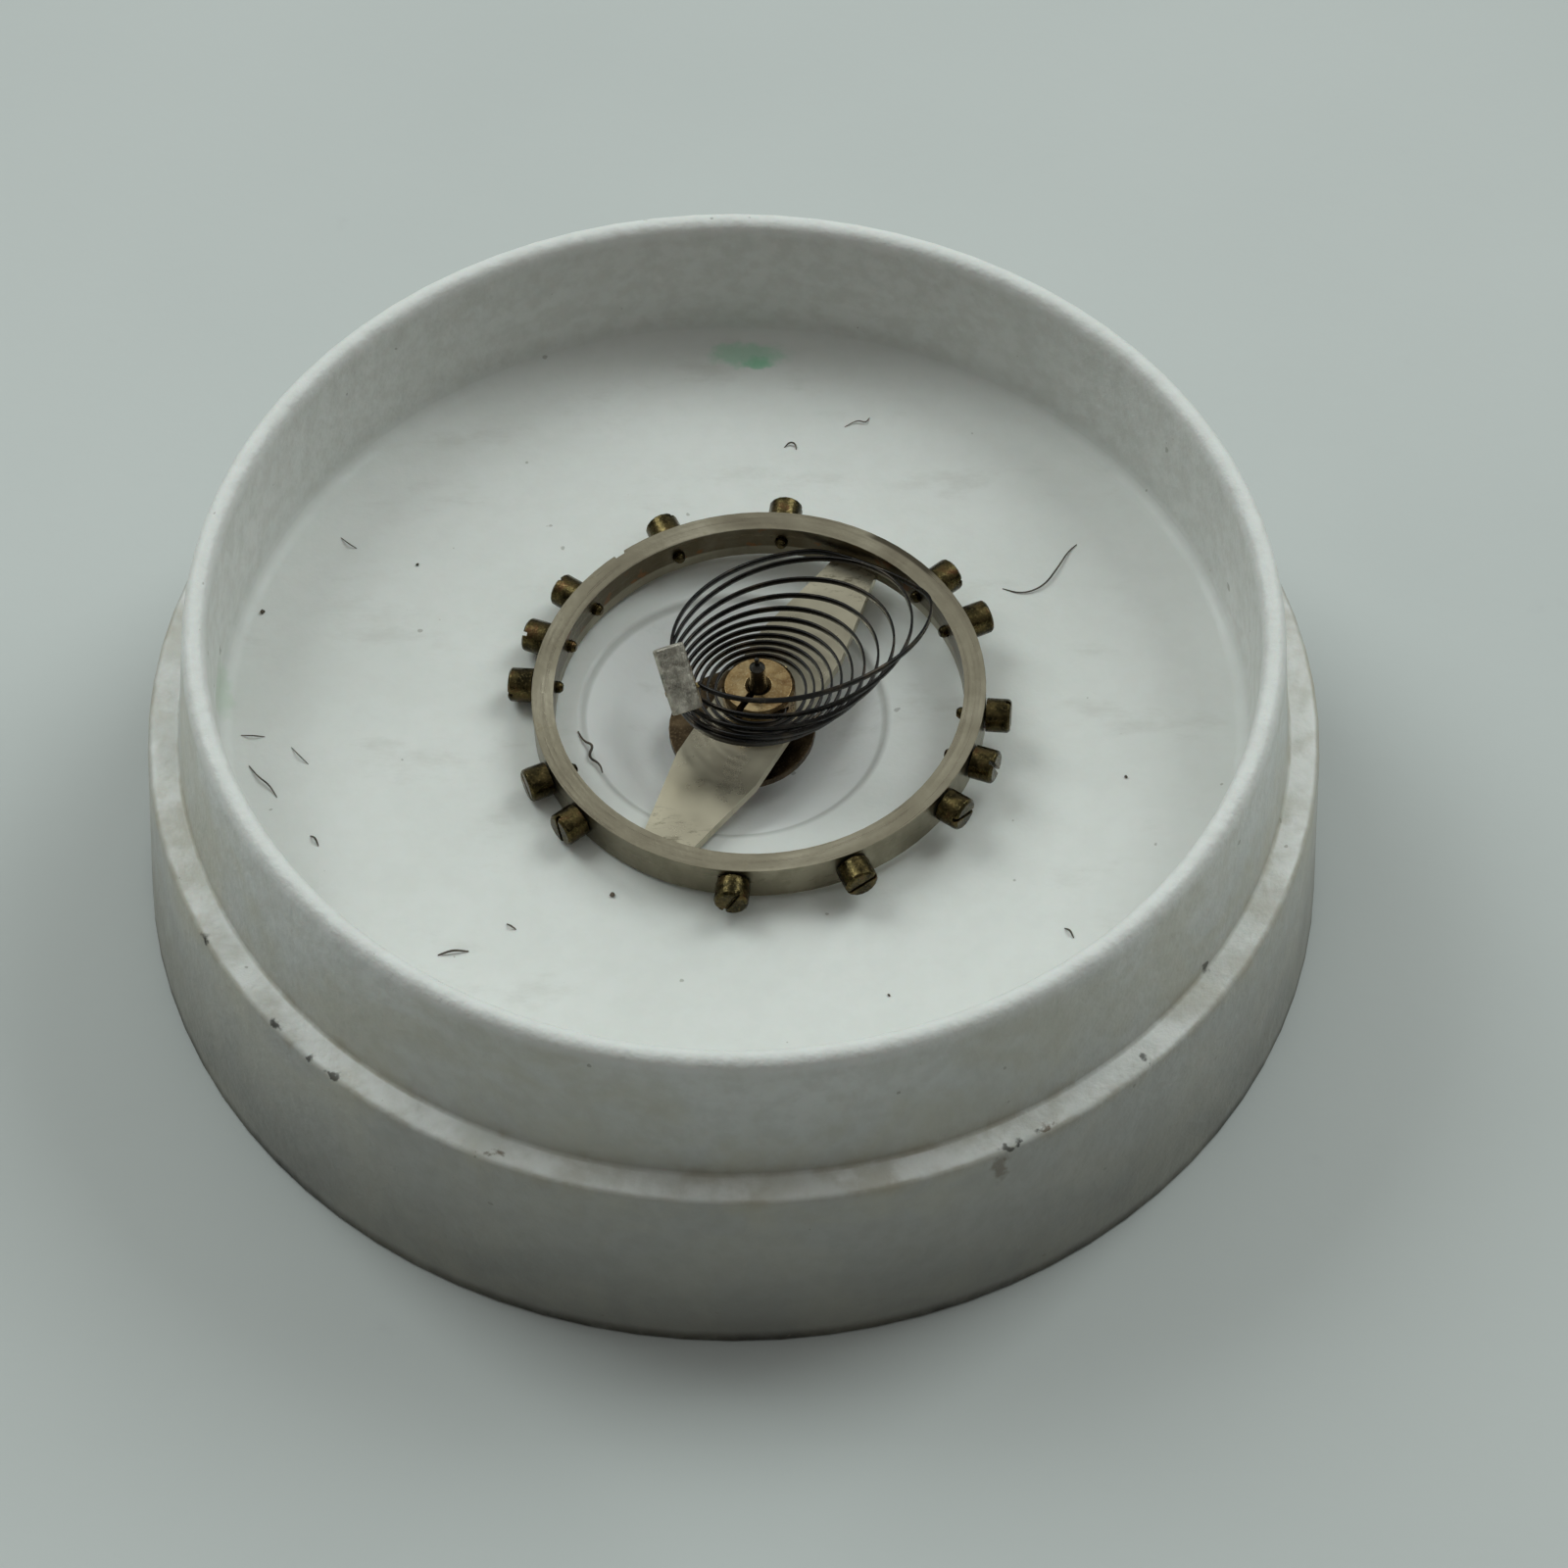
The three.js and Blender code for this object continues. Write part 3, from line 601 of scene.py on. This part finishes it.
def make_hairspring():
    """The ribbon, standing on edge. Its inner turns wind with the balance, the rest stay put."""
    steps = round(SPRING_TURNS * SPRING_STEPS_PER_TURN)
    u = np.linspace(0, 1, steps + 1)
    middle = spring_line(u)
    run = np.gradient(middle, axis=0)
    side = np.stack([run[:, 1], -run[:, 0], np.zeros(len(u))], axis=1)
    side /= np.linalg.norm(side, axis=1)[:, None]
    rise = np.cross(run, side)
    rise /= np.linalg.norm(rise, axis=1)[:, None]
    rise *= np.sign(rise[:, 2])[:, None]
    bevel = 0.3
    across, up = RIBBON_THICKNESS / 2, RIBBON_HEIGHT / 2
    outline = [(across, -up + bevel * across), (across, up - bevel * across),
               (across * (1 - bevel), up), (-across * (1 - bevel), up),
               (-across, up - bevel * across), (-across, -up + bevel * across),
               (-across * (1 - bevel), -up), (across * (1 - bevel), -up)]
    corners = [middle + side * a + rise * b for a, b in outline]
    count = len(outline)
    mesh_bm = bmesh.new()
    rings = [[mesh_bm.verts.new(on_balance(*corner[i])) for corner in corners] for i in range(len(u))]
    for here, there in zip(rings, rings[1:]):
        for k in range(count):
            n = (k + 1) % count
            mesh_bm.faces.new((here[k], there[k], there[n], here[n]))
    mesh_bm.faces.new(rings[0])
    mesh_bm.faces.new(rings[-1][::-1])
    bmesh.ops.recalc_face_normals(mesh_bm, faces=mesh_bm.faces)
    mesh = bpy.data.meshes.new("spring_ribbon")
    mesh_bm.to_mesh(mesh)
    mesh_bm.free()
    mesh.shade_smooth()
    mesh.set_sharp_from_angle(angle=math.radians(50))
    mesh.materials.append(blued_steel())
    spring = bpy.data.objects.new("spring_ribbon", mesh)
    bpy.context.scene.collection.objects.link(spring)
    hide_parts("hairspring")
    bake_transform(spring, "stud", "balance", on_balance(-1, 0, 1), on_balance(1, 0, 1))
    share = 1 - smoothstep(u * SPRING_TURNS, 0, FREE_TURNS)
    weights = np.repeat(share, count).astype(np.float32)
    mesh.attributes["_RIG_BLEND"].data.foreach_set("value", weights)


# --------------------------------------------------------------------- lint

# Fibres on the dish's floor: their bends in millimetres, and their half thickness
FIBRES = [
    ([(5.76, 3.50), (6.25, 3.30), (6.72, 3.50), (7.05, 4.05), (7.28, 4.52), (7.50, 4.76)], 0.020),
    ([(-10.30, -1.41), (-10.05, -1.80), (-9.80, -2.02), (-9.62, -2.33)], 0.019),
    ([(-8.90, -3.30), (-8.78, -3.42), (-8.70, -3.60)], 0.022),
    ([(-6.15, -6.41), (-5.80, -6.33), (-5.44, -6.30)], 0.025),
    ([(6.86, -5.66), (6.98, -5.78), (7.06, -5.94)], 0.022),
    ([(1.08, 7.50), (1.20, 7.62), (1.34, 7.58), (1.36, 7.44)], 0.020),
    ([(-4.72, -5.58), (-4.62, -5.70), (-4.50, -5.74)], 0.020),
    ([(-3.34, -0.46), (-3.20, -0.80), (-2.98, -0.92), (-3.10, -1.25), (-2.84, -1.40), (-2.78, -1.65)], 0.030),
    ([(-10.52, -0.62), (-10.2, -0.70), (-9.95, -0.66)], 0.014),
    ([(-9.42, -0.92), (-9.20, -1.25), (-9.0, -1.42)], 0.013),
    ([(-8.62, 4.9), (-8.40, 4.62), (-8.22, 4.56)], 0.014),
    ([(2.4, 8.1), (2.7, 8.28), (2.9, 8.2), (3.0, 8.42)], 0.014),
    ([(-8.38, 7.16), (-8.30, 7.30), (-8.24, 7.32)], 0.022),
]
# Specks on the dish's floor: their place and radius in millimetres
SPECKS = [
    (-2.53, -4.85, 0.055), (-10.2, 2.75, 0.05), (8.3, -1.7, 0.035), (-6.9, 4.1, 0.035),
    (3.2, -7.4, 0.03),
]
FIBRE_SIDES = 8


def lint_fibre():
    s = Shader("lint_fibre", roughness=0.8, specular=0.2)
    place = s.place()
    colour = s.ramp(s.noise(place, 0.4, detail=4), (0.3, (0.05, 0.045, 0.04)), (0.7, (0.16, 0.13, 0.10)))
    rough = s.grade(s.noise(place, 0.2, detail=3), 0.3, 0.7, 0.65, 0.9)
    return s.finish(colour, rough, s.bump(s.noise(place, 0.05), 0.002))


def tube(mesh_bm, bends, radius):
    """A thin tapering tube that curves through points on the floor and lies on it."""
    places = np.array(bends)
    knots = np.linspace(0, 1, len(places))
    steps = np.linspace(0, 1, 6 * len(places))
    sharp = [np.pad(np.interp(steps, knots, places[:, k]), 3, mode="edge") for k in (0, 1)]
    line = np.stack([np.convolve(values, np.ones(7) / 7, "valid") for values in sharp], axis=1)
    run = np.gradient(line, axis=0)
    run /= np.linalg.norm(run, axis=1)[:, None]
    rings = []
    for i, share in enumerate(steps):
        thick = radius * (0.45 + 0.55 * math.sin(math.pi * share))
        lift = FLOOR_Z + thick + 0.05 * math.sin(math.pi * share) ** 2
        ring = []
        for k in range(FIBRE_SIDES):
            a = math.tau * k / FIBRE_SIDES
            x = line[i][0] - run[i][1] * thick * math.cos(a)
            y = line[i][1] + run[i][0] * thick * math.cos(a)
            ring.append(mesh_bm.verts.new(Vector((x, y, lift + thick * math.sin(a))) * MM))
        rings.append(ring)
    for here, there in zip(rings, rings[1:]):
        for k in range(FIBRE_SIDES):
            n = (k + 1) % FIBRE_SIDES
            mesh_bm.faces.new((here[k], here[n], there[n], there[k]))
    mesh_bm.faces.new(rings[0][::-1])
    mesh_bm.faces.new(rings[-1])


def crumb(mesh_bm, x, y, radius):
    """A lumpy speck resting on the floor."""
    made = bmesh.ops.create_icosphere(mesh_bm, subdivisions=2, radius=radius * MM)
    centre = Vector((x, y, FLOOR_Z + 0.7 * radius)) * MM
    for vert in made["verts"]:
        lump = 1 + 0.25 * math.sin(vert.co.x / MM * 60 + x) * math.cos(vert.co.y / MM * 75 + y)
        vert.co = centre + Vector((vert.co.x, vert.co.y, vert.co.z * 0.7)) * lump


def make_lint():
    mesh_bm = bmesh.new()
    for bends, radius in FIBRES:
        tube(mesh_bm, bends, radius)
    for x, y, radius in SPECKS:
        crumb(mesh_bm, x, y, radius)
    bmesh.ops.recalc_face_normals(mesh_bm, faces=mesh_bm.faces)
    mesh = bpy.data.meshes.new("lint")
    mesh_bm.to_mesh(mesh)
    mesh_bm.free()
    mesh.shade_smooth()
    mesh.materials.append(lint_fibre())
    lint = bpy.data.objects.new("lint", mesh)
    bpy.context.scene.collection.objects.link(lint)
    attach(lint, "dish")


# -------------------------------------------------------------------- table

def make_table():
    """A flat sheet under the dish, wide enough to run past every view."""
    half = 0.6
    mesh = bpy.data.meshes.new("table")
    corners = [(-half, -half, 0), (half, -half, 0), (half, half, 0), (-half, half, 0)]
    mesh.from_pydata(corners, [], [(0, 1, 2, 3)])
    mesh.materials.append(table_top())
    table = bpy.data.objects.new("table", mesh)
    bpy.context.scene.collection.objects.link(table)


make_camera()
make_lights()
make_table()
dress_cad_nodes()
make_hairspring()
make_lint()
